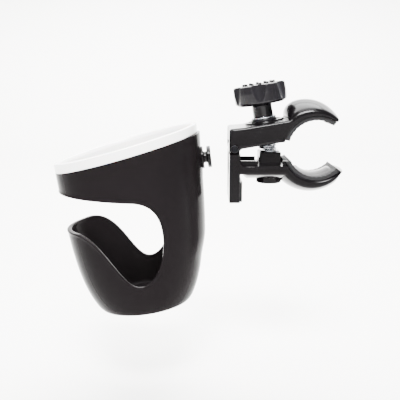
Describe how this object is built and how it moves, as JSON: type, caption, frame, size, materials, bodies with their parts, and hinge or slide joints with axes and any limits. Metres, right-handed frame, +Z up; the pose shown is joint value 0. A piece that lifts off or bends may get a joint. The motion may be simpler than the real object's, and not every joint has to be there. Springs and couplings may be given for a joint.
{
  "type": "clamp-on cup holder",
  "caption": "Open-sided cup holder with a white rim that hooks by a round stud into the keyhole of a knob-tightened bar clamp with rubber-lined jaws",
  "frame": {"origin": "centre of the clamped bar, at the middle of the jaws' width", "axes": "+X points from the cup towards the bar, +Y runs along the bar, +Z is up"},
  "size_m": [0.1839, 0.0938, 0.1494],
  "materials": {
    "black_abs": "black ABS, moulded with a soft satin gloss",
    "white_abs": "white ABS, moulded, glossy",
    "black_jaw": "black glass-filled nylon, moulded, glossy",
    "black_knob": "black ABS, moulded, glossy with softened edges",
    "black_nylon": "black acetal, turned or moulded, semi-matt",
    "black_rubber": "black moulded rubber, matt",
    "zinc_steel": "zinc-plated steel",
    "spring_steel": "drawn spring wire, bright"
  },
  "bodies": {
    "lower_clamp": {"lower_jaw": "black_jaw", "lower_pad": "black_rubber", "keyhole_cover": "black_jaw", "cover_screws": "zinc_steel", "hinge_pin": "zinc_steel", "hinge_clip": "zinc_steel", "nut_cap": "black_nylon", "spring": "spring_steel", "spring_seat": "zinc_steel"},
    "upper_clamp": {"upper_jaw": "black_jaw", "upper_pad": "black_rubber"},
    "screw_seat": {"dome_washer": "black_nylon", "thrust_washer": "zinc_steel"},
    "knob_and_screw": {"knob": "black_knob", "knob_cap": "black_knob", "clamp_screw": "zinc_steel", "stop_ring": "zinc_steel"},
    "nut": {"rocking_nut": "zinc_steel"},
    "hook_stud": {"stud": "black_nylon"},
    "cup": {"cup_shell": "black_abs", "rim_ring": "white_abs", "stud_screw": "zinc_steel", "stud_washer": "zinc_steel", "stud_nut": "zinc_steel"}
  },
  "joints": [
    {"name": "jaw_open", "type": "hinge", "parent": "lower_clamp", "child": "upper_clamp", "pos_m": [-0.0511, 0, 0], "axis": [0, -1, 0], "range_deg": [-7.86, 9.82], "deforming": ["spring"]},
    {"name": "screw_tilt", "type": "hinge", "parent": "upper_clamp", "child": "screw_seat", "pos_m": [-0.03171, 0, 0.01744], "axis": [0, 1, 0], "range_deg": [-3.66, 4.56]},
    {"name": "knob_turn", "type": "hinge", "parent": "screw_seat", "child": "knob_and_screw", "pos_m": [-0.03171, 0, 0.01744], "axis": [-0.165, 0, 0.9863], "range_deg": [-1080, 1350]},
    {"name": "nut_rock", "type": "hinge", "parent": "lower_clamp", "child": "nut", "pos_m": [-0.02742, 0, -0.0082], "axis": [0, -1, 0], "range_deg": [-4.26, 5.31]},
    {"name": "cup_hook_on", "type": "hinge", "parent": "lower_clamp", "child": "hook_stud", "pos_m": [-0.10086, 0, -0.14434], "axis": [0, 1, 0], "range_deg": [0, 6.66]},
    {"name": "cup_swivel", "type": "hinge", "parent": "hook_stud", "child": "cup", "pos_m": [-0.06897, 0, -0.00698], "axis": [0.9933, 0, 0.116], "continuous": true}
  ],
  "couplings": [
    {"joint": "jaw_open", "follows": "knob_turn", "ratio": 0.0072343},
    {"joint": "screw_tilt", "follows": "knob_turn", "ratio": 0.0033389},
    {"joint": "nut_rock", "follows": "knob_turn", "ratio": 0.0038954}
  ]
}
